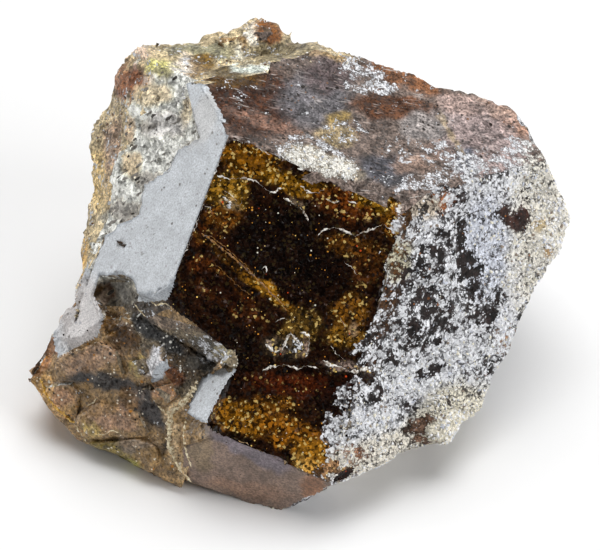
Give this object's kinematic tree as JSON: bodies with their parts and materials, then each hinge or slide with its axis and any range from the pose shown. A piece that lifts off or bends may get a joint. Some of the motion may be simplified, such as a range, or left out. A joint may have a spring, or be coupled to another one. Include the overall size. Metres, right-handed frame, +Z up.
{
  "type": "cassiterite crystal specimen",
  "caption": "Broken group of intergrown cassiterite crystals with a glassy amber face, a mirror-flat side face, a crusted side and a stepped spur, resting on a flat base.",
  "frame": {"origin": "bottom centre of the bounding box, on the plane of the flat broken base", "axes": "+Z up, +X towards the crusted right end along the longest extent, -Y towards the glassy amber face"},
  "size_m": [0.045, 0.0372, 0.0278],
  "materials": {
    "cassiterite": null
  },
  "bodies": {
    "root": {"cassiterite": "cassiterite"}
  },
  "joints": []
}
